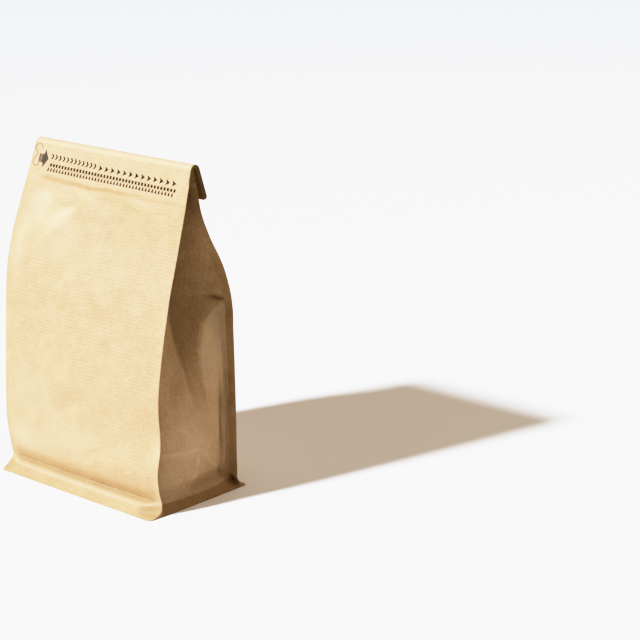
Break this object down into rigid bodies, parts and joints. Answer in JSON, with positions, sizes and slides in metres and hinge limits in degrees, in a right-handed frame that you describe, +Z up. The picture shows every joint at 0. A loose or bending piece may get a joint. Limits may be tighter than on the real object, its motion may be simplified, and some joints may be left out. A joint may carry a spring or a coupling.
{
  "type": "coffee bag",
  "caption": "Shut flat-bottom kraft paper coffee bag with side folds, sealed edges and its top band folded over.",
  "frame": {"origin": "on the floor under the middle of the base", "axes": "+Z up, -Y out of the front panel, +X to the right seen from the front"},
  "size_m": [0.132, 0.081, 0.2],
  "materials": {
    "kraft_paper": "matt ribbed brown kraft paper"
  },
  "bodies": {
    "root": {"coffee_bag": "kraft_paper"}
  },
  "joints": []
}
